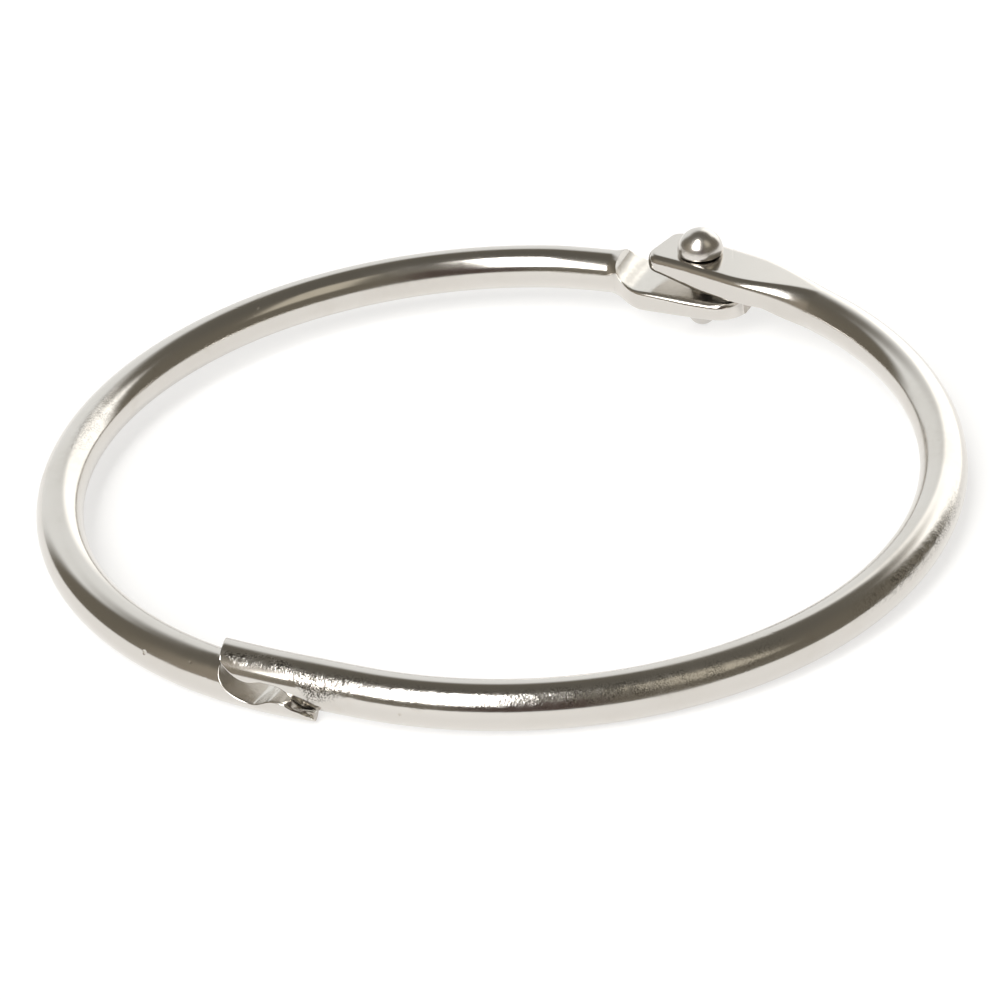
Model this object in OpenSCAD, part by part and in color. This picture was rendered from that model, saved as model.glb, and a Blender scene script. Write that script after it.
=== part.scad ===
// Hinged snap ring of round wire: two half hoops, riveted at one end and clasped at the other.
// The halves lie one on the other where they meet, the left half below the right one.

/* [Ring] */
// Radius of the wire's centreline in each half hoop
bend_r = 28.4; // [27:0.1:30]
// Diameter of the wire
wire_d = 3.2; // [3.1:0.05:3.3]
// Height of the right half's plane above the left one's, at the hinge and the clasp
stack_h = 0.52; // [0.5:0.01:0.56]
// Angle by which each half falls away from the line through hinge and clasp
droop = 1.3; // [1:0.1:1.6]
// Distance of the left half's bend centre to the left of that line
left_off = 2.4; // [2.2:0.1:2.6]
// Distance of the right half's bend centre to the right of that line
right_off = 0.7; // [0.5:0.1:0.9]
// Distance of each bend centre from the middle, along the line
slip = 0.6; // [0.5:0.1:0.7]

/* [Tongues] */
// Width of the left tongue at the rivet
left_tongue_w = 5.4; // [5:0.1:5.5]
// Width of the right tongue at the rivet
right_tongue_w = 4.5; // [4.3:0.1:4.7]
// How much narrower the left tongue is at its tip
left_taper = 0.3; // [0:0.1:0.4]
// How much wider the right tongue is at its tip
right_flare = 0.5; // [0.4:0.1:0.8]
// Thickness of the left tongue
left_tongue_t = 1.5; // [1.4:0.05:1.55]
// Thickness of the right tongue
right_tongue_t = 1.75; // [1.6:0.05:1.8]
// Radius along the tongues' long edges
tongue_edge_r = 0.6; // [0.4:0.05:0.7]
// Radius of the left tongue tip's corners, seen from above
left_corner_r = 2.1; // [1.6:0.1:2.2]
// Radius of the right tongue tip's corners, seen from above
right_corner_r = 1; // [0.8:0.1:1.6]
// Reach of the right tongue past the rivet
right_reach = 3.35; // [3.2:0.05:3.6]
// Reach of the left tongue past the rivet
left_reach = 4.1; // [4:0.1:4.2]

/* [Rivet] */
// Diameter of the rivet's shank
shank_d = 1.6; // [1.5:0.05:1.8]
// Diameter of the domed head
head_d = 3.4; // [3.2:0.1:3.6]
// Height of the domed head
head_h = 1.85; // [1.5:0.05:2]
// Diameter of the rounded tail
tail_d = 2.15; // [2.05:0.05:2.6]
// Length of the tail below the left tongue
tail_l = 2.1; // [1.8:0.1:2.4]
// Radial play of the shank in the left tongue
left_play = 0.08; // [0.05:0.01:0.1]
// Radial play of the shank in the right tongue
right_play = 0.05; // [0.03:0.01:0.08]
// Play between the tongues and the rivet's head and tail
end_play = 0.08; // [0.05:0.01:0.12]

/* [Clasp] */
// Height of the left tooth above the floor of its notch
tooth_h = 0.6; // [0.5:0.02:0.62]
// Play between the right wire and the left tip under it
lap_play = 0.12; // [0.1:0.01:0.16]

/* [Hidden] */
$fn = 96;

wire_r = wire_d / 2;
inner_r = wire_r * 0.997;  // of what starts inside the bend
half_gap = stack_h / 2;
far = 6;               // cutters reach this far past the wire
overlap_a = 2;         // degrees in which a tongue starts inside the wire's bend
overlap_l = 0.05;      // length in which the straight wire starts inside it
rivet_at = [-0.32, 28.75];

// Resting on a table: tilt about X, then Y, and the shift that puts the origin under the middle
rest_tilt = [2.157, 1.139, 0];
rest_shift = [0.863, -0.272, 2.96];

left_colour = [0.78, 0.77, 0.74];
right_colour = [0.8, 0.79, 0.76];
rivet_colour = [0.66, 0.65, 0.62];

// Bend centres, and the ends of the round wire as angles on each bend
left_centre = [-left_off, -slip];
right_centre = [right_off, slip];
left_root_a = 109;
right_root_a = 70;
left_blank_a = 284;
right_straight_a = 279.2; // the right wire runs straight from here to its tip
right_straight_l = 10.5;
left_slant = 15;       // of the tips, seen from above
right_slant = -8;

// Straight tongues: direction, distance of the middle line outside the rivet,
// length from the end of the shoulder to the rivet, and the parts of the way
// from wire to tongue in which it is pressed down and spread. A pull below 1 makes that way
// straighter than the bend.
left_tongue_a = 5;
left_tongue_side = -0.8;
left_flat_l = 4.6;
left_press = [0.65, 1];
left_spread = [0.55, 1];
left_pull = 0.7;
right_tongue_a = 174;
right_tongue_side = -0.1;
right_flat_l = 3;
right_press = [0, 0.7];
right_spread = [0.1, 0.9];
right_pull = 1;

// Clasp: middle of the lap on the hoop, and its direction
clasp_at = [0.38, -28.37];
clasp_a = 2.5;

function mix(a, b, t) = a + (b - a) * t;
function ramp(t) = let (c = min(max(t, 0), 1)) c * c * (3 - 2 * c);
function polar(r, a) = [r * cos(a), r * sin(a)];
function soft_min(a, b, r) = let (h = max(r - abs(a - b), 0) / r) min(a, b) - h * h * r / 4;
function hermite(p0, d0, p1, d1, t) =
    let (t2 = t * t, t3 = t2 * t)
    (2 * t3 - 3 * t2 + 1) * p0 + (t3 - 2 * t2 + t) * d0 + (3 * t2 - 2 * t3) * p1 + (t3 - t2) * d1;

// Rounded bar between x = -w and w and z = -h and h, as a closed list of [x, z]
corner_steps = 6;
function bar_section(w, h, r) = [
    for (k = [0 : 3], i = [0 : corner_steps - 1])
        let (a = 90 * k + 90 * i / (corner_steps - 1),
             sx = (k == 0 || k == 3) ? 1 : -1,
             sz = k < 2 ? 1 : -1)
        [sx * (w - r) + r * cos(a), sz * (h - r) + r * sin(a)]
];
// The same with its upper side pressed down to height top
function pressed(sec, top) = [for (q = sec) [q[0], soft_min(q[1], top, press_round)]];
press_round = 0.35;
press_power = 1.5;       // how slowly the pressing sets in

// One ring of a swept blank: a section stood across direction a at point p
function ring_at(p, a, sec) = [for (q = sec) [p[0] + q[0] * sin(a), p[1] - q[0] * cos(a), q[1]]];

module sweep(rings) {
    n = len(rings[0]);
    m = len(rings);
    sides = [for (i = [0 : m - 2], j = [0 : n - 1])
        let (k = (j + 1) % n, a = i * n, b = (i + 1) * n)
        each [[a + j, a + k, b + k], [a + j, b + k, b + j]]];
    first = [for (j = [n - 1 : -1 : 0]) j];
    last = [for (j = [0 : n - 1]) (m - 1) * n + j];
    polyhedron([for (r = rings) each r], concat([first], sides, [last]));
}

// Wire from angle a0 to a1 on its bend
module hoop(a0, a1) {
    rotate([0, 0, a0])
        rotate_extrude(angle = a1 - a0, $fn = 360)
            translate([bend_r, 0]) circle(wire_r, $fn = 96);
}

// Flattened tongue with its pressed side up, from root angle a0 on the bend to a straight end
module tongue(a0, turn, dir_a, mid, flat_l, reach, width, flare, thick, corner_r, press, spread, pull) {
    start = polar(bend_r, a0);
    start_a = a0 + turn * 90;
    dir = polar(1, dir_a);
    flat_at = mid - dir * flat_l;
    span = pull * norm(flat_at - start);
    inside = [for (i = [0 : 1])
        ring_at(polar(bend_r, a0 - turn * overlap_a * (1 - i)), start_a - turn * overlap_a * (1 - i),
                bar_section(inner_r, inner_r, inner_r))];
    blend = [for (i = [1 : blend_n])
        let (t = i / blend_n,
             p = hermite(start, polar(span, start_a), flat_at, dir * span, t),
             q = hermite(start, polar(span, start_a), flat_at, dir * span, t - 0.01),
             s = ramp(part(t, spread)))
        ring_at(p, atan2(p[1] - q[1], p[0] - q[0]),
                pressed(bar_section(mix(wire_r, width / 2, s), wire_r, mix(wire_r, tongue_edge_r, s)),
                        mix(wire_r + press_round, thick - wire_r, pow(part(t, press), press_power))))];
    flat = [for (i = [1 : flat_n])
        let (x = mix(-flat_l, reach, i / flat_n),
             c = max(x - (reach - corner_r), 0),
             full = width / 2 + flare / 2 * max(x, 0) / reach,
             w = full - corner_r + sqrt(max(pow(corner_r, 2) - c * c, 0)))
        ring_at(mid + dir * x, dir_a,
                pressed(bar_section(w, wire_r, min(tongue_edge_r, w)), thick - wire_r))];
    sweep(concat(inside, blend, flat));
}
blend_n = 16;
flat_n = 14;
function part(t, range) = min(max((t - range[0]) / (range[1] - range[0]), 0), 1);

// Side view of the clasp: x runs along the wire, y is height
scoop_x = -1.15;       // end of the left notch's scooped wall
scoop_w = 2.65;
scoop_h = 2.27;
floor_z = -0.67;
crest_x = [0.5, 0.75]; // level crest of the left tooth
fall = 0.27;           // the tooth's far side falls as a parabola
left_tip_z = -1.12;
left_tip_x = 2.42;
function left_lap(x) =
    x < scoop_x ? floor_z + scoop_h * (1 - sqrt(max(1 - pow((scoop_x - x) / scoop_w, 2), 0)))
    : x < crest_x[1] ? floor_z + tooth_h * ramp((x - scoop_x) / (crest_x[0] - scoop_x))
    : max(floor_z + tooth_h - fall * pow(x - crest_x[1], 2), left_tip_z);

tooth_x = -1.7;        // lowest point of the right tooth
tooth_z = 0.45;
tooth_rise = 0.27;     // the tooth's far side rises as a parabola, and flattens
tooth_back = 3.1;
valley_x = [-0.7, 0.1];
valley_z = [0.64, 0.6];
wall_fall = 0.42;      // and the near wall falls as one
right_tip_x = -4.1;
right_lap_end = 2.5;
function right_lap(x) =
    x < tooth_x ? tooth_z + tooth_rise * pow(x - tooth_x, 2) / (1 + pow((x - tooth_x) / tooth_back, 4))
    : x < valley_x[0] ? mix(tooth_z, valley_z[0], ramp((x - tooth_x) / (valley_x[0] - tooth_x)))
    : x < valley_x[1] ? mix(valley_z[0], valley_z[1], (x - valley_x[0]) / (valley_x[1] - valley_x[0]))
    : valley_z[1] - wall_fall * pow(x - valley_x[1], 2);

lap_step = 0.1;

// Straight end of the right wire, in its half's frame
module right_straight(r, l) {
    translate(polar(bend_r, right_straight_a)) rotate([0, 0, right_straight_a]) rotate([90, 0, 0])
        translate([0, 0, -overlap_l]) cylinder(h = l, r = r);
}

module at_clasp() { translate(clasp_at) rotate([0, 0, clasp_a]) children(); }

// What is cut away above the left half's lap
module left_cutter() {
    at_clasp() {
        rotate([90, 0, 0]) linear_extrude(2 * far, center = true)
            polygon(concat([[far, far], [scoop_x - scoop_w, far]],
                [for (x = [scoop_x - scoop_w : lap_step : left_tip_x + 1]) [x, left_lap(x)]],
                [[far, left_tip_z]]));
        translate([left_tip_x, 0, -far]) rotate([0, 0, left_slant]) translate([0, -far, 0]) cube(2 * far);
    }
    difference() {
        right_plane() right_straight(wire_r + lap_play, 6);
        translate([0, 0, -lap_play]) right_cutter();
    }
}

// What is cut away below the right half's lap
module right_cutter() {
    at_clasp() {
        rotate([90, 0, 0]) linear_extrude(2 * far, center = true)
            polygon(concat([[-far, -far], [-far, right_lap(right_tip_x - 1)]],
                [for (x = [right_tip_x - 1 : lap_step : right_lap_end]) [x, right_lap(x)]],
                [[right_lap_end, -far]]));
        translate([right_tip_x, 0, -far]) rotate([0, 0, 180 - right_slant]) translate([0, -far, 0]) cube(2 * far);
    }
}

module left_plane() { translate([0, 0, -half_gap]) rotate([0, -droop, 0]) translate(left_centre) children(); }
module right_plane() { translate([0, 0, half_gap]) rotate([0, droop, 0]) translate(right_centre) children(); }

// The ring as it lies on a table: on the rivet's tail and on one point of each wire
module at_rest() { translate(rest_shift) rotate(rest_tilt) children(); }

// Rivet hole through one tongue
module rivet_hole(play) {
    translate([rivet_at[0], rivet_at[1], -far]) cylinder(h = 2 * far, d = shank_d + 2 * play);
}

module left_half() {
    color(left_colour)
    at_rest() difference() {
        left_plane() {
            hoop(left_root_a, left_blank_a);
            tongue(left_root_a, -1, left_tongue_a,
                   rivet_at - left_centre + left_tongue_side * polar(1, left_tongue_a + 90),
                   left_flat_l, left_reach, left_tongue_w, -left_taper, left_tongue_t, left_corner_r,
                   left_press, left_spread, left_pull);
        }
        rivet_hole(left_play);
        left_cutter();
    }
}

module right_half() {
    color(right_colour)
    at_rest() difference() {
        right_plane() {
            hoop(right_straight_a - 360, right_root_a);
            right_straight(inner_r, right_straight_l);
            mirror([0, 0, 1])
                tongue(right_root_a, 1, right_tongue_a,
                       rivet_at - right_centre - right_tongue_side * polar(1, right_tongue_a + 90),
                       right_flat_l, right_reach, right_tongue_w, right_flare, right_tongue_t, right_corner_r,
                       right_press, right_spread, right_pull);
        }
        rivet_hole(right_play);
        right_cutter();
    }
}

// Domed head over the right tongue, plain shank, rounded tail under the left tongue
module rivet() {
    top = half_gap + wire_r + end_play;
    tail_r = tail_d / 2;
    profile = concat(
        [[0, top + head_h]],
        [for (a = [80 : -10 : 0]) [head_d / 2 * cos(a), top + head_h * sin(a)]],
        [[shank_d / 2, top], [shank_d / 2, -top], [tail_r, -top]],
        [for (a = [0 : 10 : 80]) [tail_r * cos(a), tail_r - top - tail_l - tail_r * sin(a)]],
        [[0, -top - tail_l]]);
    color(rivet_colour)
    at_rest() translate(rivet_at) rotate_extrude() polygon(profile);
}

left_half();
rivet();
right_half();
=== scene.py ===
import bpy
import math
import numpy as np
from mathutils import Matrix, Vector


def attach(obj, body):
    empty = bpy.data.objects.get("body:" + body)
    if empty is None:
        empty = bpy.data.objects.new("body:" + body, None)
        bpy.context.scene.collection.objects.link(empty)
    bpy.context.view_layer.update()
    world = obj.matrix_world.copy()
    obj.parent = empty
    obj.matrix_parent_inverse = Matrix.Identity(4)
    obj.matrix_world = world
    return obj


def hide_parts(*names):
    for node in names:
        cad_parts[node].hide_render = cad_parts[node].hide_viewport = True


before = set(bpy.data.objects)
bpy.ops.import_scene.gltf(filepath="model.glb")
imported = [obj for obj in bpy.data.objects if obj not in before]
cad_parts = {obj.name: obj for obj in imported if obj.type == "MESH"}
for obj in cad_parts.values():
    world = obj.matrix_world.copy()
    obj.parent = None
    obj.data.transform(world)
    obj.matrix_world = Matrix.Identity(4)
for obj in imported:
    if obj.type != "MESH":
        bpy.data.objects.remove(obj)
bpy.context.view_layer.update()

mm = 0.001                     # every length below is in millimetres, every angle in degrees
searchSteps = 30               # of a search by trial

# What both halves share. The left half lies under the right one, and both hang on one rivet.
ring = {
    "bendRadius": 28.4,        # of the wire's middle line
    "wireRadius": 1.6,
    "stackHeight": 0.52,       # of the right half's plane over the left one's
    "droop": 1.3,              # each half falls away from the line through hinge and clasp
    "rivetAt": (-0.32, 28.75),
    "claspAt": (0.38, -28.37),
    "claspTurn": 2.5,
    "restTilt": (2.157, 1.139),
    "restShift": (0.863, -0.272, 2.96),
    "stepsAround": 96,
    "ringSpacing": 0.42,       # along the plain wire
    "lapSpacing": 0.05,        # along the cut ends
    "blendRings": 90,          # where the wire turns into the tongue
    "tongueRings": 24,         # on each part of the tongue
    "pressWeight": 1.5,        # how much a change of thickness draws rings together
    "rimGrowth": 2.5,          # length over which the pressed face's rim reaches its radius
    "spreadCurve": 0.6,        # how fast the section's corners sharpen as it spreads
    "cutAngles": (30, 150),    # the section's points that lie on a cut face
    "rimShare": 0.125,         # the share of these that rounds each rim
    "rimMost": 0.45,           # of a cut's width, for one rim
    "sharpAngle": 40,          # steeper edges are shaded sharp
}

leftHalf = {
    "name": "leftHalf",
    "body": "left",
    "node": "left_half",
    "up": 1,                   # its pressed side and its lap look up
    "centre": (-2.4, -0.6),
    "turn": -1,                # from clasp to hinge its bend runs clockwise
    "straightFrom": None,
    "tipBend": (0, 0),
    "tipAt": 2.42,             # along the clasp
    "tipSlant": 15,            # its inner edge is set back
    "tipRim": 0.5,             # of the lap's rim towards the tip
    "tipRimFrom": 0.6,         # along the clasp, on the tip's side
    "lapTo": -3.9,
    "rootAngle": 109,
    "tongueAngle": 5,
    "tongueSide": 0.8,         # of its middle line, inward of the rivet
    "tongueWidth": 5.4,
    "tongueFlare": -0.3,
    "tongueThickness": 1.38,
    "neckThickness": 1.62,     # where the pressing has just set in
    "edgeRadius": 0.45,
    "cornerRadius": 2.1,
    "reach": 4.1,
    "flatLength": 5.2,
    "pressAt": -6.05,          # from the rivet along the tongue
    "pressLength": 2.0,
    "pressCurve": (2, 0.5),    # steep, then flat
    "thinning": (-3.6, 2.5),
    "spread": (-6.7, -3.4),    # along the tongue too
    "pull": 0.7,
    "startPress": 0,
    "rimRadius": (0.2, 0.45),  # of the pressed face, where the pressing starts and at the rivet
    "holeRadius": 0.88,
}

rightHalf = {
    "name": "rightHalf",
    "body": "right",
    "node": "right_half",
    "up": -1,                  # its pressed side and its lap look down
    "centre": (0.7, 0.6),
    "turn": 1,
    "straightFrom": 279.2,     # the wire runs straight from here to its tip
    "tipBend": (5, 5),         # angle and length of the bend at its very tip
    "tipAt": -4.12,
    "tipSlant": -17,
    "tipRim": 0.14,
    "tipRimFrom": 2.2,
    "lapTo": 2.6,
    "rootAngle": 70,
    "tongueAngle": 174,
    "tongueSide": 0.1,
    "tongueWidth": 4.5,
    "tongueFlare": 0.5,
    "tongueThickness": 1.2,
    "neckThickness": 1.9,
    "edgeRadius": 0.6,
    "cornerRadius": 1.0,
    "reach": 3.35,
    "flatLength": 3.0,
    "pressAt": -13.5,
    "pressLength": 7.0,
    "pressCurve": (1, 1.5),
    "thinning": (-1.5, 3.3),
    "spread": (-10.5, -3.5),
    "pull": 1,
    "startPress": 6,           # the pressing may start this far before the bend's end
    "rimRadius": (0.3, 0.3),
    "holeRadius": 0.85,
}


def ramp(t):
    c = np.clip(t, 0, 1)
    return c * c * (3 - 2 * c)


def polar(length, angle):
    return length * np.array((math.cos(math.radians(angle)), math.sin(math.radians(angle))))


# Rotation and shift from a half's own plane to the ring, and from the ring to the table
def planeOf(half):
    tilt = Matrix.Rotation(math.radians(-half["up"] * ring["droop"]), 4, "Y")
    drop = Matrix.Translation((0, 0, -half["up"] * ring["stackHeight"] / 2))
    return np.array(drop @ tilt @ Matrix.Translation((*half["centre"], 0)))


def tableOf():
    turnX = Matrix.Rotation(math.radians(ring["restTilt"][0]), 4, "X")
    turnY = Matrix.Rotation(math.radians(ring["restTilt"][1]), 4, "Y")
    return np.array(Matrix.Translation(ring["restShift"]) @ turnY @ turnX)


def moved(matrix, points):
    return points @ matrix[:3, :3].T + matrix[:3, 3]


# Side view of the clasp: heights of the two laps over the distance along it
lap = {
    "scoopAt": -1.15,
    "scoopWidth": 2.65,
    "scoopHeight": 2.27,
    "floor": -0.67,
    "wallSlope": 4,            # above the scoop
    "toothHeight": 0.6,
    "crestFrom": 0.5,
    "crestTo": 0.75,
    "fall": 0.27,
    "leftTipHeight": -1.12,
    "rightTooth": (-1.7, 0.45),
    "toothRise": 0.27,
    "toothBack": 3.1,          # behind the tooth its rise flattens over this length
    "valleyFrom": (-0.7, 0.64),
    "valleyTo": (0.1, 0.6),
    "wallFall": 0.42,
    "play": 0.12,              # between the two laps
    "flank": 0.7,              # slope at which the channel under the right wire opens outward
    "channelBlend": 0.3,       # rounding between channel and tooth
    "blend": 0.15,             # and between both and the left half's own lap
    "edge": 0.1,               # rounding of the wire's ends
    "endFrom": 0.7,            # of that rounding, from where a point counts as on the end
    "rimOver": 1.2,            # length over which the rim widens towards the tip
    "heights": (-1.9, 1.6),    # that count when rings are spaced
    "slantFrom": 0.6,          # the tip's slant fades from here
    "slantOver": 3,
    "opening": (2, 60, 3),     # half a cut's width (degrees) where it begins and this far from it
}


def leftLap(x):
    inWall = np.clip((lap["scoopAt"] - x) / lap["scoopWidth"], 0, 1)
    wall = lap["floor"] + lap["scoopHeight"] * (1 - np.sqrt(1 - inWall ** 2))
    wall = wall + lap["wallSlope"] * np.maximum(lap["scoopAt"] - lap["scoopWidth"] - x, 0)
    crest = lap["floor"] + lap["toothHeight"]
    rise = ramp((x - lap["scoopAt"]) / (lap["crestFrom"] - lap["scoopAt"]))
    tooth = lap["floor"] + lap["toothHeight"] * rise
    slope = np.maximum(crest - lap["fall"] * (x - lap["crestTo"]) ** 2, lap["leftTipHeight"])
    return np.where(x < lap["scoopAt"], wall, np.where(x < lap["crestTo"], tooth, slope))


def rightLap(x):
    toothX, toothZ = lap["rightTooth"]
    fromX, fromZ = lap["valleyFrom"]
    toX, toZ = lap["valleyTo"]
    behind = x - toothX
    back = toothZ + lap["toothRise"] * behind ** 2 / (1 + (behind / lap["toothBack"]) ** 4)
    side = toothZ + (fromZ - toothZ) * ramp(behind / (fromX - toothX))
    valley = fromZ + (toZ - fromZ) * (x - fromX) / (toX - fromX)
    wall = toZ - lap["wallFall"] * (x - toX) ** 2
    return np.where(x < toothX, back, np.where(x < fromX, side, np.where(x < toX, valley, wall)))


def claspFrame(points):
    c, s = polar(1, ring["claspTurn"])
    d = points[..., :2] - np.array(ring["claspAt"])
    return np.stack((d[..., 0] * c + d[..., 1] * s, d[..., 1] * c - d[..., 0] * s, points[..., 2]), -1)


# Underside of the right half's straight wire with its play, where the left tip lies below it
def underStraight(points):
    plane = planeOf(rightHalf)
    local = moved(np.linalg.inv(plane), points)
    start = polar(ring["bendRadius"], rightHalf["straightFrom"])
    out = polar(1, rightHalf["straightFrom"])
    side = (local[..., 0] - start[0]) * out[0] + (local[..., 1] - start[1]) * out[1]
    r = ring["wireRadius"] + lap["play"]
    steep = math.hypot(1, lap["flank"])
    flank = r * steep - lap["flank"] * side     # the channel leaves the wire's roundness along this line
    depth = np.sqrt(np.maximum(r * r - np.maximum(side, 0) ** 2, 0))
    return points[..., 2] - local[..., 2] - np.where(side > r * lap["flank"] / steep, flank, depth)


def softMin(a, b, r):
    h = np.maximum(r - np.abs(a - b), 0) / r
    return np.minimum(a, b) - h * h * r / 4


# Height that a half's lap leaves at points of the ring, as seen from its own cut side
def lapHeight(half, points):
    x = claspFrame(points)[..., 0]
    if half["up"] < 0:
        return -rightLap(x)
    above = -softMin(-underStraight(points), lap["play"] - rightLap(x), lap["channelBlend"])
    return softMin(leftLap(x), above, lap["blend"])


# Rounded bar as points of its outline, at angles that count round from its side
def barOutline(angle, width, height, radius):
    angle = np.mod(angle, 360)
    quarter = np.floor(angle / 90).astype(int)
    part = angle / 90 - quarter
    part = np.where(quarter % 2 == 0, part, 1 - part)
    flatZ = height - radius
    arc = math.pi / 2 * radius
    d = part * (flatZ + arc + width - radius)
    turn = np.clip((d - flatZ) / np.maximum(radius, 1e-6), 0, math.pi / 2)
    y = width - radius + radius * np.cos(turn) - np.maximum(d - flatZ - arc, 0)
    z = np.minimum(d, flatZ) + radius * np.sin(turn)
    y = np.where((quarter == 0) | (quarter == 3), y, -y)
    return y, np.where(quarter < 2, z, -z)


# One ring of the sweep: where its middle is, which way the wire runs, and what is done to its section
def station(place, cut, pressed=2 * ring["wireRadius"], spread=0, rim=0, narrow=0, inset=0, shrink=0):
    return {"x": place[0], "y": place[1], "heading": place[2], "cut": cut, "pressed": pressed,
            "spread": spread, "rim": rim, "narrow": narrow, "inset": inset, "shrink": shrink}


def part(t, limits):
    return min(max((t - limits[0]) / (limits[1] - limits[0]), 0), 1)


def roundedEdge(edge):                          # (distance from the end, inset) round a quarter circle
    turns = np.radians((75, 60, 45, 30, 15))
    return [(edge * (1 - math.sin(t)), edge * (1 - math.cos(t))) for t in turns]


# The rings of a half, from the tip at its clasp to the end of its tongue
def stations(half):
    r, turn = ring["bendRadius"], half["turn"]
    plane = planeOf(half)
    edge = lap["edge"]
    endShrinks = (0.03, 0.12, 0.7)              # of the rings that close an end
    tip = {"angle": 284.0, "straight": 0.0}     # a first guess

    def along(place):
        return float(claspFrame(moved(plane, np.array((place[0], place[1], 0.0))))[0])

    def onBend(angle):
        x, y = polar(r, angle)
        return x, y, angle + turn * 90

    def fromTip(d):
        if half["straightFrom"] is None:
            return onBend(tip["angle"] + turn * math.degrees(d / r))
        back = tip["straight"] - d
        if back < 0:
            return onBend(half["straightFrom"] - turn * math.degrees(back / r))
        bend, bendLength = half["tipBend"]
        t = max(bendLength - d, 0) / bendLength
        start = polar(r, half["straightFrom"]) - polar(back, half["straightFrom"] + turn * 90)
        x, y = start - polar(math.radians(bend) * bendLength * t * t / 2, half["straightFrom"])
        return x, y, half["straightFrom"] + turn * (90 - bend * t)

    for _ in range(searchSteps):                # the tip is moved until it stands at its place on the clasp
        miss = along(fromTip(0)) - half["tipAt"]
        if half["straightFrom"] is None:
            tip["angle"] -= math.degrees(miss / r)
        else:
            tip["straight"] += miss
    firstAngle = half["straightFrom"] or tip["angle"]

    def lapRow(d, **more):
        fromRim = half["up"] * along(fromTip(d)) - half["tipRimFrom"]
        nearTip = float(ramp(fromRim / lap["rimOver"]))
        return station(fromTip(d), "lap", rim=edge + (half["tipRim"] - edge) * nearTip, **more)

    rows = [lapRow(0, inset=edge, shrink=s) for s in reversed(endShrinks)]
    rows += [lapRow(d, inset=i) for d, i in roundedEdge(edge)]
    fineStep, beyond = 0.004, 0.4
    fine = np.arange(0, abs(half["tipAt"] - half["lapTo"]) + beyond, fineStep)
    xs = np.array([along(fromTip(d)) for d in fine])
    heights = np.clip(leftLap(xs) if half["up"] > 0 else -rightLap(xs), *lap["heights"])
    run = np.concatenate(([0], np.cumsum(np.hypot(np.diff(xs), np.diff(heights)))))
    marks = np.interp(np.linspace(0, run[-1], int(run[-1] / ring["lapSpacing"])), run, fine)
    rows += [lapRow(d) for d in marks if d > edge]

    bend = math.radians(turn * (half["rootAngle"] + (360 if turn > 0 else 0) - firstAngle)) * r
    total = tip["straight"] + bend
    steps = int((total - marks[-1]) / ring["ringSpacing"])
    bendAt = np.linspace(marks[-1], total, steps + 1)[1:]

    start = polar(r, half["rootAngle"])
    direction = polar(1, half["tongueAngle"])
    inward = turn * polar(1, half["tongueAngle"] + 90)
    middle = np.array(ring["rivetAt"]) - np.array(half["centre"]) + half["tongueSide"] * inward
    flatAt = middle - direction * half["flatLength"]
    span = half["pull"] * np.linalg.norm(flatAt - start)
    startWay = polar(span, half["rootAngle"] + turn * 90)

    def blendPoint(t):
        t2, t3 = t * t, t * t * t
        return ((2 * t3 - 3 * t2 + 1) * start + (t3 - 2 * t2 + t) * startWay
                + (3 * t2 - 2 * t3) * flatAt + (t3 - t2) * direction * span)

    def thickness(x):                           # left by the press, x from the rivet along the tongue
        d = (x - half["pressAt"]) / half["pressLength"]
        first, second = half["pressCurve"]
        share = (1 - (1 - min(max(d, 0), 1)) ** first) ** second
        neck = 2 * ring["wireRadius"] + (half["neckThickness"] - 2 * ring["wireRadius"]) * share
        thin = float(ramp(part(x, half["thinning"])))
        return neck + (half["tongueThickness"] - half["neckThickness"]) * thin

    def spreadAt(x):
        return float(ramp(part(x, half["spread"])))

    def pressRow(p, heading, x, spread, narrow=0, **more):
        cutKind = "press" if x > half["pressAt"] else "plain"
        first, last = half["rimRadius"]
        rim = first + (last - first) * part(x, (half["pressAt"], 0))
        rim = rim * float(ramp((x - half["pressAt"]) / ring["rimGrowth"]))
        return station((p[0], p[1], heading), cutKind, thickness(x), spread, rim, narrow, **more)

    for d in bendAt:
        x, y, heading = fromTip(d)
        nearHinge = total - d < half["startPress"]
        at = float((np.array((x, y)) - middle) @ direction)
        rows.append(pressRow((x, y), heading, at, 0.0) if nearHinge else station((x, y, heading), "plain"))

    grid = np.linspace(0, 1, 401)
    places = np.array([blendPoint(t) for t in grid])
    thick = np.array([thickness(x) for x in (places - middle) @ direction])
    moves = np.hypot(np.hypot(*np.diff(places, axis=0).T), ring["pressWeight"] * np.diff(thick))
    run = np.concatenate(([0], np.cumsum(moves)))
    for t in np.interp(np.linspace(0, run[-1], ring["blendRings"] + 1)[1:], run, grid):
        p, q = blendPoint(t), blendPoint(t - 0.001)
        heading = math.degrees(math.atan2(p[1] - q[1], p[0] - q[0]))
        x = float((p - middle) @ direction)
        rows.append(pressRow(p, heading, x, spreadAt(x)))

    corner, reach, many = half["cornerRadius"], half["reach"], ring["tongueRings"]
    straight = np.linspace(-half["flatLength"], reach - corner, many)[1:]
    curved = reach - corner + (corner - edge) * np.sin(np.radians(np.linspace(0, 90, many)[1:]))

    def tongueRow(x, **more):
        c = max(min(x, reach - edge) - (reach - corner), 0)
        narrow = corner - math.sqrt(corner ** 2 - c * c)
        narrow -= half["tongueFlare"] / 2 * max(x, 0) / reach
        p = middle + direction * x
        return pressRow(p, half["tongueAngle"], x, spreadAt(x), narrow, **more)

    rows += [tongueRow(x) for x in np.concatenate((straight, curved))]
    rows += [tongueRow(reach - d, inset=i) for d, i in reversed(roundedEdge(edge))]
    rows += [tongueRow(reach, inset=edge, shrink=s) for s in endShrinks]
    return rows


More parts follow.
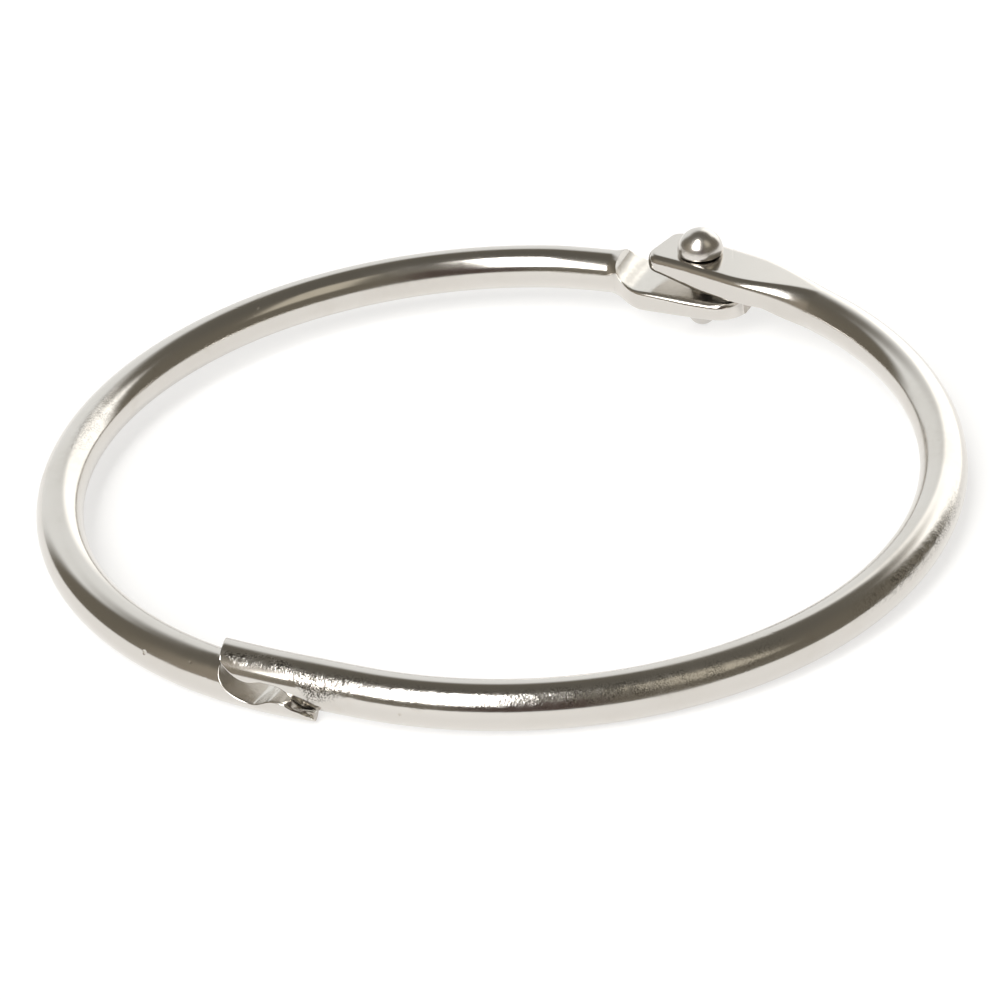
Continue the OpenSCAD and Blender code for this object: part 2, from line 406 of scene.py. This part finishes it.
# A tree that sweeps a round section along the path it is given
def sweepTree():
    tree = bpy.data.node_groups.new("wireSweep", "GeometryNodeTree")
    tree.interface.new_socket("Path", in_out="INPUT", socket_type="NodeSocketGeometry")
    tree.interface.new_socket("Wire Radius", in_out="INPUT", socket_type="NodeSocketFloat")
    tree.interface.new_socket("Steps Around", in_out="INPUT", socket_type="NodeSocketInt")
    tree.interface.new_socket("Finish", in_out="INPUT", socket_type="NodeSocketMaterial")
    tree.interface.new_socket("Wire", in_out="OUTPUT", socket_type="NodeSocketGeometry")
    nodes, links = tree.nodes, tree.links
    given = nodes.new("NodeGroupInput")
    toCurve = nodes.new("GeometryNodeMeshToCurve")
    upright = nodes.new("GeometryNodeSetCurveNormal")
    upright.mode = "Z_UP"
    circle = nodes.new("GeometryNodeCurvePrimitiveCircle")
    sweep = nodes.new("GeometryNodeCurveToMesh")
    sweep.inputs["Fill Caps"].default_value = True
    smooth = nodes.new("GeometryNodeSetShadeSmooth")
    real = nodes.new("GeometryNodeRealizeInstances")
    finish = nodes.new("GeometryNodeSetMaterial")
    made = nodes.new("NodeGroupOutput")
    links.new(given.outputs["Path"], toCurve.inputs["Mesh"])
    links.new(toCurve.outputs["Curve"], upright.inputs["Curve"])
    links.new(given.outputs["Steps Around"], circle.inputs["Resolution"])
    links.new(given.outputs["Wire Radius"], circle.inputs["Radius"])
    links.new(upright.outputs["Curve"], sweep.inputs["Curve"])
    links.new(circle.outputs["Curve"], sweep.inputs["Profile Curve"])
    links.new(sweep.outputs["Mesh"], smooth.inputs["Geometry"])
    links.new(smooth.outputs["Geometry"], real.inputs["Geometry"])
    links.new(real.outputs["Geometry"], finish.inputs["Geometry"])
    links.new(given.outputs["Finish"], finish.inputs["Material"])
    links.new(finish.outputs["Geometry"], made.inputs["Wire"])
    return tree


def setInput(modifier, name, value):
    for item in modifier.node_group.interface.items_tree:
        if item.item_type == "SOCKET" and item.in_out == "INPUT" and item.name == name:
            modifier[item.identifier] = value


def newObject(name, mesh):
    thing = bpy.data.objects.new(name, mesh)
    bpy.context.scene.collection.objects.link(thing)
    return thing


def plainMesh(thing, name):                     # the evaluated object as a mesh of its own
    seen = thing.evaluated_get(bpy.context.evaluated_depsgraph_get())
    mesh = bpy.data.meshes.new_from_object(seen)
    mesh.name = name
    return mesh


# Sections of all rings at once: each point's new place, whether it lies on a cut face and on an end,
# and how far along the wire it is
def sections(half, rows, angles):
    count, r = len(rows), ring["wireRadius"]
    column = {k: np.array([row[k] for row in rows])[:, None] for k in
              ("x", "y", "heading", "pressed", "spread", "rim", "narrow", "inset", "shrink")}
    cut = np.array([row["cut"] for row in rows])
    heading = np.radians(column["heading"])
    way = np.stack((np.cos(heading), np.sin(heading)), -1)
    inward = half["turn"] * np.stack((-way[..., 1], way[..., 0]), -1)
    centre = np.stack((column["x"], column["y"]), -1)
    length = np.concatenate(([0], np.cumsum(np.hypot(*np.diff(centre[:, 0], axis=0).T))))
    slanted = 1 - ramp((length - lap["slantFrom"]) / lap["slantOver"])
    slant = math.tan(math.radians(half["tipSlant"])) * slanted[:, None]
    width = r + (half["tongueWidth"] / 2 - r) * column["spread"] - column["narrow"]
    radius = np.minimum(r + (half["edgeRadius"] - r) * column["spread"] ** ring["spreadCurve"], width)
    pressed = column["pressed"] - r
    plane = planeOf(half)
    noLimit = 99.0

    def place(side, height):
        flat = centre + inward * side[..., None] + way * (side * slant)[..., None]
        return moved(plane, np.concatenate((flat, half["up"] * height[..., None]), -1))

    def limit(side):                            # how high the section may reach there
        lapLimit = np.zeros_like(side)
        for _ in range(3):
            points = place(side, lapLimit)
            lapLimit = lapLimit + lapHeight(half, points) - half["up"] * points[..., 2]
        high = np.where((cut == "lap")[:, None], lapLimit, noLimit)
        return np.where((cut == "press")[:, None], np.broadcast_to(pressed, side.shape), high)

    def outline(angle):
        return barOutline(angle, width, np.full_like(width, r), radius)

    def rim(bottom, top):                       # angle at which the outline runs into the cut
        low, high = np.full((count, 1), bottom), np.full((count, 1), top)
        for _ in range(searchSteps):
            middle = (low + high) / 2
            y, z = outline(middle)
            under = z < limit(y)
            low, high = np.where(under, middle, low), np.where(under, high, middle)
        return (low + high) / 2

    narrowest, widest, over = lap["opening"]
    rimIn, rimOut = rim(-90.0, 90.0), rim(270.0, 90.0)
    isCut = rimIn < 90 - narrowest
    cutAt = length[isCut[:, 0]]
    far = np.min(np.abs(length[:, None] - cutAt[None, :]), axis=1)[:, None]
    opened = narrowest + (widest - narrowest) * ramp(far / over)
    rimIn = np.where(isCut, rimIn, 90 - opened)     # uncut, the points close in on the cut's beginning
    rimOut = np.where(isCut, rimOut, 90 + opened)

    yIn, zIn = outline(rimIn)
    yOut, zOut = outline(rimOut)
    soft = np.minimum(column["rim"], ring["rimMost"] * (yIn - yOut))
    quarter = (r - radius) + math.pi / 2 * radius + (width - radius)
    back = np.where(isCut, 90 * soft / quarter, 0)

    cutFrom, cutTo = ring["cutAngles"]
    edgePart = ring["rimShare"]
    u = (angles - cutFrom) / (cutTo - cutFrom)
    below = np.mod(angles - cutTo, 360) / (360 - cutTo + cutFrom)
    bottom = outline(rimOut + back + below * (rimIn + 360 - rimOut - 2 * back))
    whole = outline(rimIn + u * (rimOut - rimIn))

    def corner(t, startAngle, yRim, zRim, yTop):
        y0, z0 = outline(startAngle)
        z2 = limit(yTop)
        a, b, c = (1 - t) ** 2, 2 * t * (1 - t), t * t
        return a * y0 + b * yRim + c * yTop, a * z0 + b * zRim + c * z2

    inner = corner(np.clip(u / edgePart, 0, 1), rimIn - back, yIn, zIn, yIn - soft)
    outer = corner(np.clip((1 - u) / edgePart, 0, 1), rimOut + back, yOut, zOut, yOut + soft)
    across = (yIn - soft) + (u - edgePart) / (1 - 2 * edgePart) * ((yOut + soft) - (yIn - soft))
    flat = (across, limit(across))
    inTop = (angles >= cutFrom) & (angles <= cutTo)
    result = []
    for k in (0, 1):
        top = np.where(u < edgePart, inner[k], np.where(u > 1 - edgePart, outer[k], flat[k]))
        top = np.where(isCut, top, whole[k])
        result.append(np.where(inTop, top, bottom[k]))
    y, z = result
    least = 1e-3
    for k, size in ((0, y), (1, z)):
        low, high = size.min(1, keepdims=True), size.max(1, keepdims=True)
        scale = (1 - column["inset"] / np.maximum((high - low) / 2, least)) * (1 - column["shrink"])
        if k == 1:                              # a hollow section shrinks towards the middle of its floor
            high = np.where(isCut, flat[1].min(1, keepdims=True), high)
        size[:] = (low + high) / 2 + (size - (low + high) / 2) * scale
    onCut = (isCut & inTop & (u > edgePart / 2) & (u < 1 - edgePart / 2)).astype(float)
    onEnd = (column["shrink"] > 0) | (column["inset"] >= lap["edge"] * lap["endFrom"])
    onEnd = np.broadcast_to(onEnd, y.shape).astype(float)
    return place(y, z), onCut, onEnd, np.broadcast_to(length[:, None], y.shape)


def setAttribute(mesh, name, values):
    layer = mesh.attributes.new(name, "FLOAT", "POINT")
    layer.data.foreach_set("value", np.ascontiguousarray(values, dtype=np.float32).ravel())


# How grainy the plating is at each point, from none to all
def pittedShare(half, along, angles):
    share = np.zeros(along.shape)
    growOver, fadeOver = pittedStretches["fades"]
    for first, last, middle, width, strength in pittedStretches[half["name"]]:
        lengthwise = ramp((along - first) / growOver) * ramp((last - along) / fadeOver)
        aside = np.abs(np.mod(angles - middle + 180, 360) - 180)
        share = np.maximum(share, strength * lengthwise * ramp((width / 2 - aside) / (width / 3)))
    return share


# One half: the swept wire, then its tongue pressed and its lap cut by moving the sweep's points
def buildHalf(half, finish):
    rows = stations(half)
    count, around = len(rows), ring["stepsAround"]
    matrix = tableOf() @ planeOf(half)
    path = moved(matrix, np.array([(row["x"], row["y"], 0) for row in rows])) * mm
    line = bpy.data.meshes.new(half["name"] + "Path")
    line.from_pydata([tuple(p) for p in path], [(i, i + 1) for i in range(count - 1)], [])
    holder = newObject(half["name"] + "Sweep", line)
    sweep = holder.modifiers.new("wireSweep", "NODES")
    sweep.node_group = sweepTree()
    setInput(sweep, "Wire Radius", ring["wireRadius"] * mm)
    setInput(sweep, "Steps Around", around)
    setInput(sweep, "Finish", finish)
    mesh = plainMesh(holder, half["name"])
    bpy.data.objects.remove(holder)

    points = np.empty(len(mesh.vertices) * 3)
    mesh.vertices.foreach_get("co", points)
    points = moved(np.linalg.inv(matrix), points.reshape(count, around, 3) / mm)
    heading = np.radians([row["heading"] for row in rows])
    inward = half["turn"] * np.stack((-np.sin(heading), np.cos(heading)), -1)
    offset = points[..., :2] - np.array([(row["x"], row["y"]) for row in rows])[:, None]
    side = (offset * inward[:, None]).sum(-1)
    k = count // 2                              # a ring on the plain wire gives every ring's angles
    turns = np.degrees(np.arctan2(half["up"] * points[k, :, 2], side[k]))
    step = 360 / around
    angles = np.mod(np.round(turns / step) * step, 360)[None, :]

    shaped, onCut, onEnd, along = sections(half, rows, angles)
    mesh.vertices.foreach_set("co", (moved(tableOf(), shaped) * mm).ravel())
    setAttribute(mesh, "cutFace", onCut)
    setAttribute(mesh, "tipFace", onEnd)
    setAttribute(mesh, "alongWire", along)
    setAttribute(mesh, "pitted", pittedShare(half, along, angles))
    setAttribute(mesh, "aroundWire", np.broadcast_to(angles, onCut.shape))
    mesh.update()
    blank = newObject(half["name"] + "Blank", mesh)

    drill = bpy.data.meshes.new("drill")
    drillSteps, drillReach = 72, 4
    turnsRound = np.radians(np.arange(drillSteps) * 360 / drillSteps)
    disc = np.stack((np.cos(turnsRound), np.sin(turnsRound)), -1) * half["holeRadius"]
    rim = [(x, y, z) for z in (-drillReach, drillReach) for x, y in disc + np.array(ring["rivetAt"])]
    following = [(i + 1) % drillSteps for i in range(drillSteps)]
    sides = [(i, k, drillSteps + k, drillSteps + i) for i, k in enumerate(following)]
    ends = [tuple(range(drillSteps - 1, -1, -1)), tuple(range(drillSteps, 2 * drillSteps))]
    drill.from_pydata([tuple(p) for p in moved(tableOf(), np.array(rim)) * mm], [], sides + ends)
    tool = newObject("drill", drill)
    bore = blank.modifiers.new("rivetHole", "BOOLEAN")
    bore.operation = "DIFFERENCE"
    bore.solver = "EXACT"
    bore.object = tool
    final = plainMesh(blank, half["name"])
    bpy.data.objects.remove(blank)
    bpy.data.objects.remove(tool)
    final.set_sharp_from_angle(angle=math.radians(ring["sharpAngle"]))
    piece = newObject(half["name"], final)
    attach(piece, half["body"])
    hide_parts(half["node"])
    print(half["name"], count, "rings,", len(final.polygons), "faces")
    return piece


rivet = {
    "shankRadius": 0.8,
    "headRadius": 1.7,
    "headHeight": 1.85,
    "headEdge": 0.16,          # rounding where the dome meets its underside
    "tailRadius": 1.075,
    "tailLength": 2.1,
    "play": 0.08,
    "dulled": 0.11,            # rougher than the wire by this
    "stepsAround": 128,
}


# Profile of the rivet from the top of its head to the end of its tail
def rivetProfile():
    top = ring["stackHeight"] / 2 + ring["wireRadius"] + rivet["play"]
    e, tail = rivet["headEdge"], rivet["tailRadius"]
    points = [(0, top + rivet["headHeight"])]
    for a in range(87, -1, -3):
        points.append((rivet["headRadius"] * math.cos(math.radians(a)),
                       top + e + (rivet["headHeight"] - e) * math.sin(math.radians(a))))
    for a in range(-15, -91, -15):
        points.append((rivet["headRadius"] - e + e * math.cos(math.radians(a)),
                       top + e + e * math.sin(math.radians(a))))
    for z in (top, -top):
        points.append((rivet["shankRadius"], z))
    e = e / 2
    for a in range(90, -1, -15):
        points.append((tail - e + e * math.cos(math.radians(a)), -top - e + e * math.sin(math.radians(a))))
    for a in range(0, 90, 4):
        points.append((tail * math.cos(math.radians(a)),
                       -top - rivet["tailLength"] + tail - tail * math.sin(math.radians(a))))
    points.append((0, -top - rivet["tailLength"]))
    return points


def buildRivet(finish):
    profile, around = rivetProfile(), rivet["stepsAround"]
    inner = profile[1:-1]
    x0, y0 = ring["rivetAt"]
    turns = np.radians(np.arange(around) * 360 / around)
    points = [(x0, y0, profile[0][1]), (x0, y0, profile[-1][1])]
    for r, z in inner:
        points += [(x0 + r * math.cos(t), y0 + r * math.sin(t), z) for t in turns]
    faces = []
    for j in range(around):
        k = (j + 1) % around
        faces.append((0, 2 + j, 2 + k))
        faces.append((1, 2 + (len(inner) - 1) * around + k, 2 + (len(inner) - 1) * around + j))
        for i in range(len(inner) - 1):
            a, b = 2 + i * around, 2 + (i + 1) * around
            faces.append((a + j, b + j, b + k, a + k))
    mesh = bpy.data.meshes.new("rivetPin")
    mesh.from_pydata([tuple(p) for p in moved(tableOf(), np.array(points)) * mm], [], faces)
    mesh.materials.append(finish)
    mesh.shade_smooth()
    mesh.set_sharp_from_angle(angle=math.radians(ring["sharpAngle"]))
    piece = newObject("rivetPin", mesh)
    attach(piece, "pin")
    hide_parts("rivet")
    print("rivet", len(mesh.polygons), "faces")
    return piece


# Nickel plating over steel
plating = {
    "color": (0.66, 0.635, 0.60),
    "stainColor": (0.585, 0.55, 0.50),
    "cutColor": (0.70, 0.675, 0.635),
    "shearColor": (0.50, 0.455, 0.40),
    # painted shade: a near-black colour for the pits, in place of the light their grains scatter away
    "pitPaintedShade": (0.10, 0.09, 0.075),
    "stainShare": 0.55,
    "hazeShare": 0.35,
    "roughness": 0.14,         # of the bright wire
    "hazeRoughness": 0.22,     # where handling has dulled it
    "cutRoughness": 0.19,      # of pressed and notched faces
    "shearRoughness": 0.46,    # of the wire's cropped ends
    "grainShare": (0.25, 1),   # of the grain's depth, where it is bright and where it is dulled
    "lineStretch": 0.02,       # of the drawn lines along the wire
    "scratchCells": 150,       # per metre
    "scratchWidth": 0.012,
    "scratchDepth": 1.6,       # micrometres
    "ragged": (5000, 2, 0.5, 11),
    "knockEdge": (0.7, 1.5),   # of a knock's radius
    "knockDark": 18,           # a knock this deep (micrometres) is quite dark
    "depthUnit": 1e-6,
}

# Uneven fields over the plating: a noise's scale (per metre), detail, roughness and seed, the two
# levels between which it counts, and the two values that it is drawn out to
fields = {
    "clouds": (140, 3, 0.55, 0, 0.48, 0.72, 0, 1),
    "cloudGrain": (2600, 3, 0.6, 2, 0.3, 0.7, 0.5, 1),
    "stain": (300, 4, 0.6, 5, 0.55, 0.80, 0, 1),
    "pittedRoughness": (2000, 2, 0.5, 3, 0.35, 0.7, 0.02, 0.13),
    "cutRoughness": (2200, 3, 0.5, 4, 0.3, 0.7, -0.05, 0.06),
    "pitPatches": (900, 3, 0.6, 7, 0.32, 0.60, 0, 1),
    # where the pits get painted shade spots in their colour
    "pitPaintedShadeSpots": (9500, 1, 0.5, 13, 0.46, 0.56, 0, 1),
    "scored": (200, 2, 0.5, 9, 0.52, 0.62, 0, 1),
    "shearWear": (1500, 2, 0.5, 0, 0.2, 0.45, 0.6, 1),
    "shearShade": (2500, 3, 0.5, 6, 0.3, 0.7, 0.4, 1),
}

# Relief of the plating: a noise's scale, detail, roughness and seed, and its depth in micrometres
reliefs = {
    "wave": (650, 1, 0.5, 1, 3.0),             # slow unevenness of the drawn wire
    "drawLines": (26, 2, 0.6, 0, 0.30),        # fine lines along the wire
    "grain": (5200, 2, 0.5, 0, 1.1),           # fine grain of the plating
    "pits": (7600, 2, 0.6, 8, 30.0),
    "cutFacets": (1500, 2, 0.6, 12, 4.5),      # uneven facets left by the tool
    "cutGrain": (6500, 3, 0.6, 0, 1.8),
    "shearGrain": (3000, 4, 0.6, 0, 5.0),
}

# Stretches of grainy, pitted plating: from and to along the wire (mm), middle round it and
# width (degrees), strength. They grow and fade over the two lengths (mm).
# Their pits also get painted shade: dark spots put into the colour over the band where the highlight falls.
pittedStretches = {
    "fades": (6, 8),
    "leftHalf": [(34, 50, 60, 70, 0.35)],
    "rightHalf": [(-4, 14, 228, 66, 1.0), (4, 38, 228, 58, 0.55), (40, 60, 216, 56, 0.6)],
}

# Small knocks in the plating: place (mm), radius (mm) and depth (micrometres)
knocks = [
    ((-8.39, -29.94, 2.17), 0.20, 22),
    ((-4.55, -30.27, 2.67), 0.13, 14),
    ((9.67, -28.53, 1.81), 0.17, 30),
    ((10.7, -28.08, 2.45), 0.62, 7),
    ((-26.68, 10.0, 4.26), 0.11, 18),
    ((-28.8, -0.45, 3.62), 0.26, 9),
]


# Short ways to add shader nodes to a tree
def shaderTools(tree):
    nodes, links = tree.nodes, tree.links

    def put(socket, value):
        if isinstance(value, tuple):
            socket.default_value = (*value, 1)
        elif isinstance(value, (int, float)):
            socket.default_value = value
        else:
            links.new(value, socket)

    def calc(operation, *values):
        node = nodes.new("ShaderNodeMath")
        node.operation = operation
        for socket, value in zip(node.inputs, values):
            put(socket, value)
        return node.outputs[0]

    def step(value, start, end, low=0, high=1):
        node = nodes.new("ShaderNodeMapRange")
        node.interpolation_type = "SMOOTHSTEP"
        for label, number in (("From Min", start), ("From Max", end), ("To Min", low), ("To Max", high)):
            put(node.inputs[label], number)
        links.new(value, node.inputs["Value"])
        return node.outputs[0]

    def blend(share, under, over):
        node = nodes.new("ShaderNodeMix")
        node.data_type = "RGBA"
        for label, value in (("Factor", share), ("A", under), ("B", over)):
            put(node.inputs[label], value)
        return node.outputs["Result"]

    return put, calc, step, blend


def nickelFinish(name, dulled):
    material = bpy.data.materials.new(name)
    material.use_nodes = True
    nodes, links = material.node_tree.nodes, material.node_tree.links
    put, calc, step, blend = shaderTools(material.node_tree)
    surface = nodes["Principled BSDF"]
    surface.inputs["Metallic"].default_value = 1
    place = nodes.new("ShaderNodeTexCoord").outputs["Object"]

    def noise(scale, detail, rough, seed, vector=place):
        node = nodes.new("ShaderNodeTexNoise")
        node.noise_dimensions = "4D"
        for label, number in (("W", seed), ("Scale", scale), ("Detail", detail), ("Roughness", rough)):
            put(node.inputs[label], number)
        links.new(vector, node.inputs["Vector"])
        return node.outputs["Fac"]

    def field(label):
        return step(noise(*fields[label][:4]), *fields[label][4:])

    def relief(depth, label, share=1, vector=place):
        bumps = calc("MULTIPLY", share, noise(*reliefs[label][:4], vector))
        return calc("MULTIPLY_ADD", bumps, reliefs[label][4], depth)

    def between(share, low, high):
        return calc("MULTIPLY_ADD", share, calc("SUBTRACT", high, low), low)

    def attribute(label):
        node = nodes.new("ShaderNodeAttribute")
        node.attribute_name = label
        return node.outputs["Fac"]

    onCut, pitted = attribute("cutFace"), attribute("pitted")
    onTip = calc("MULTIPLY", attribute("tipFace"), field("shearWear"))
    along, around = attribute("alongWire"), attribute("aroundWire")

    # how the plating shines: bright, dulled in clouds, satin where the tool has pressed or cut it
    haze = calc("MULTIPLY", field("clouds"), field("cloudGrain"))
    bright = between(haze, plating["roughness"] + dulled, plating["hazeRoughness"] + dulled)
    bright = calc("ADD", bright, calc("MULTIPLY", pitted, field("pittedRoughness")))
    rough = between(onCut, bright, calc("ADD", plating["cutRoughness"], field("cutRoughness")))
    rough = between(onTip, rough, plating["shearRoughness"])
    links.new(rough, surface.inputs["Roughness"])

    # its depths, in micrometres
    turn = calc("MULTIPLY", around, math.pi / 180)
    wirePlace = nodes.new("ShaderNodeCombineXYZ")
    put(wirePlace.inputs["X"], calc("MULTIPLY", along, plating["lineStretch"]))
    put(wirePlace.inputs["Y"], calc("MULTIPLY", calc("SINE", turn), ring["wireRadius"]))
    put(wirePlace.inputs["Z"], calc("MULTIPLY", calc("COSINE", turn), ring["wireRadius"]))
    pits = calc("MULTIPLY", pitted, field("pitPatches"))
    depth = relief(0, "wave")
    depth = relief(depth, "drawLines", 1, wirePlace.outputs[0])
    depth = relief(depth, "grain", step(haze, 0, 1, *plating["grainShare"]))
    depth = relief(depth, "pits", pits)
    depth = relief(depth, "cutFacets", onCut)
    depth = relief(depth, "cutGrain", onCut)
    depth = relief(depth, "shearGrain", onTip)
    scratch = nodes.new("ShaderNodeTexVoronoi")
    scratch.feature = "DISTANCE_TO_EDGE"
    scratch.inputs["Scale"].default_value = plating["scratchCells"]
    links.new(place, scratch.inputs["Vector"])
    line = step(scratch.outputs["Distance"], 0, plating["scratchWidth"], 1, 0)
    scored = calc("MULTIPLY", line, field("scored"))
    depth = calc("MULTIPLY_ADD", scored, -plating["scratchDepth"], depth)

    dark = calc("MULTIPLY", field("stain"), plating["stainShare"])
    ragged = noise(*plating["ragged"])
    edgeFrom, edgeTo = plating["knockEdge"]
    for at, radius, deep in knocks:
        apart = nodes.new("ShaderNodeVectorMath")
        apart.operation = "DISTANCE"
        links.new(place, apart.inputs[0])
        apart.inputs[1].default_value = [value * mm for value in at]
        uneven = calc("MULTIPLY_ADD", ragged, radius * mm, apart.outputs["Value"])
        inside = step(uneven, radius * mm * edgeFrom, radius * mm * edgeTo, 1, 0)
        depth = calc("MULTIPLY_ADD", inside, -deep, depth)
        dark = calc("MAXIMUM", dark, calc("MULTIPLY", inside, min(1, deep / plating["knockDark"])))

    color = blend(calc("MULTIPLY", haze, plating["hazeShare"]), plating["color"], plating["stainColor"])
    color = blend(dark, color, plating["stainColor"])
    # painted shade: dark spots in the pitted stretches, in place of the light the grains scatter out of the
    # highlight
    color = blend(calc("MULTIPLY", pits, field("pitPaintedShadeSpots")), color, plating["pitPaintedShade"])
    color = blend(onCut, color, plating["cutColor"])
    color = blend(calc("MULTIPLY", onTip, field("shearShade")), color, plating["shearColor"])
    links.new(color, surface.inputs["Base Color"])

    bump = nodes.new("ShaderNodeBump")
    bump.inputs["Strength"].default_value = 1
    bump.inputs["Distance"].default_value = plating["depthUnit"]
    links.new(depth, bump.inputs["Height"])
    links.new(bump.outputs["Normal"], surface.inputs["Normal"])
    return material


# The floor and the room round it. A panel's azimuth counts to the right from straight behind the ring.
studio = {
    "floorColor": (0.5, 0.5, 0.5),
    "floorRoughness": 0.8,
    "floorGlow": 0.58,         # the floor is lit from below as well
    "floorSize": 6000,
    "roomColor": (0.185, 0.165, 0.13),
    "roomTopColor": (0.14, 0.13, 0.11),
    "topFrom": 20,             # elevations between which the walls turn into the ceiling
    "topTo": 75,
    "backdropColor": (1.0, 1.0, 1.0),
    "panels": [
        {"name": "leftWall", "azimuth": -112, "width": 40, "softSide": 30,
         "from": -20, "to": 45, "softRise": 25, "color": (0.34, 0.30, 0.24)},
        {"name": "backWall", "azimuth": -10, "width": 72, "softSide": 14,
         "from": -20, "to": 42, "softRise": 16, "color": (1.02, 1.03, 1.02)},
        {"name": "backWindow", "azimuth": 34, "width": 48, "softSide": 12,
         "from": -20, "to": 41, "softRise": 12, "color": (1.8, 1.78, 1.72)},
        {"name": "darkCorner", "azimuth": -178, "width": 34, "softSide": 10,
         "from": -20, "to": 40, "softRise": 15, "color": (0.09, 0.065, 0.055)},
        {"name": "softbox", "azimuth": -149, "width": 37, "softSide": 8,
         "from": 27, "to": 74, "softRise": 5, "color": (9.0, 8.9, 8.7)},
        {"name": "sideLight", "azimuth": 131, "width": 32, "softSide": 9,
         "from": 32, "to": 64, "softRise": 9, "color": (0.66, 0.61, 0.50)},
    ],
}

camera = {
    "place": (106.044, -166.176, 112.125),
    "azimuth": 32.6155,
    "elevation": 29.7252,
    "roll": 4.0016,
    "lens": 118.97,
    "sensor": 36,
}


def buildFloor():
    s = studio["floorSize"] * mm / 2
    mesh = bpy.data.meshes.new("floor")
    mesh.from_pydata([(-s, -s, 0), (s, -s, 0), (s, s, 0), (-s, s, 0)], [], [(0, 1, 2, 3)])
    floor = newObject("floor", mesh)
    material = bpy.data.materials.new("paleFloor")
    material.use_nodes = True
    surface = material.node_tree.nodes["Principled BSDF"]
    surface.inputs["Base Color"].default_value = (*studio["floorColor"], 1)
    surface.inputs["Roughness"].default_value = studio["floorRoughness"]
    surface.inputs["Emission Color"].default_value = (1, 1, 1, 1)
    surface.inputs["Emission Strength"].default_value = studio["floorGlow"]
    mesh.materials.append(material)


# The room is painted on the world: dark walls, a pale backdrop with a window, a softbox and a side light
def buildRoom():
    world = bpy.data.worlds.new("room")
    bpy.context.scene.world = world
    world.use_nodes = True
    nodes, links = world.node_tree.nodes, world.node_tree.links
    put, calc, step, blend = shaderTools(world.node_tree)

    def edge(value, start, end):                # 1 before start, 0 after end
        return step(value, start, end, 1, 0)

    place = nodes.new("ShaderNodeTexCoord")
    turn = nodes.new("ShaderNodeMapping")
    turn.vector_type = "POINT"
    turn.inputs["Rotation"].default_value = (0, 0, math.radians(-camera["azimuth"]))
    links.new(place.outputs["Generated"], turn.inputs["Vector"])
    split = nodes.new("ShaderNodeSeparateXYZ")
    links.new(turn.outputs["Vector"], split.inputs["Vector"])
    azimuth = calc("MULTIPLY", calc("ARCTAN2", split.outputs["X"], split.outputs["Y"]), 180 / math.pi)
    rise = calc("MULTIPLY", calc("ARCSINE", split.outputs["Z"]), 180 / math.pi)
    wall = edge(rise, studio["topFrom"], studio["topTo"])
    color = blend(wall, studio["roomTopColor"], studio["roomColor"])
    for panel in studio["panels"]:
        side = calc("ABSOLUTE", calc("WRAP", calc("SUBTRACT", azimuth, panel["azimuth"]), 180, -180))
        half, soft = panel["width"] / 2, panel["softSide"] / 2
        middle, reach = (panel["from"] + panel["to"]) / 2, (panel["to"] - panel["from"]) / 2
        height = calc("ABSOLUTE", calc("SUBTRACT", rise, middle))
        softRise = panel["softRise"] / 2
        share = calc("MULTIPLY", edge(side, half - soft, half + soft),
                     edge(height, reach - softRise, reach + softRise))
        color = blend(share, color, panel["color"])
    ray = nodes.new("ShaderNodeLightPath")
    color = blend(ray.outputs["Is Camera Ray"], color, studio["backdropColor"])
    put(nodes["Background"].inputs["Color"], color)


def buildCamera():
    az, el, roll = (math.radians(camera[k]) for k in ("azimuth", "elevation", "roll"))
    look = Vector((-math.sin(az) * math.cos(el), math.cos(az) * math.cos(el), -math.sin(el)))
    level = look.cross(Vector((0, 0, 1))).normalized()
    up = level.cross(look) * math.cos(roll) + level * math.sin(roll)
    right = look.cross(up)
    turn = Matrix((right, up, -look)).transposed().to_4x4()
    data = bpy.data.cameras.new("camera")
    data.lens = camera["lens"]
    data.sensor_width = camera["sensor"]
    eye = newObject("camera", data)
    eye.matrix_world = Matrix.Translation(Vector(camera["place"]) * mm) @ turn
    bpy.context.scene.camera = eye


wireFinish = nickelFinish("nickelWire", 0)
rivetFinish = nickelFinish("nickelRivet", rivet["dulled"])
buildHalf(leftHalf, wireFinish)
buildHalf(rightHalf, wireFinish)
buildRivet(rivetFinish)
buildFloor()
buildRoom()
buildCamera()
bpy.context.scene.view_settings.view_transform = "Standard"
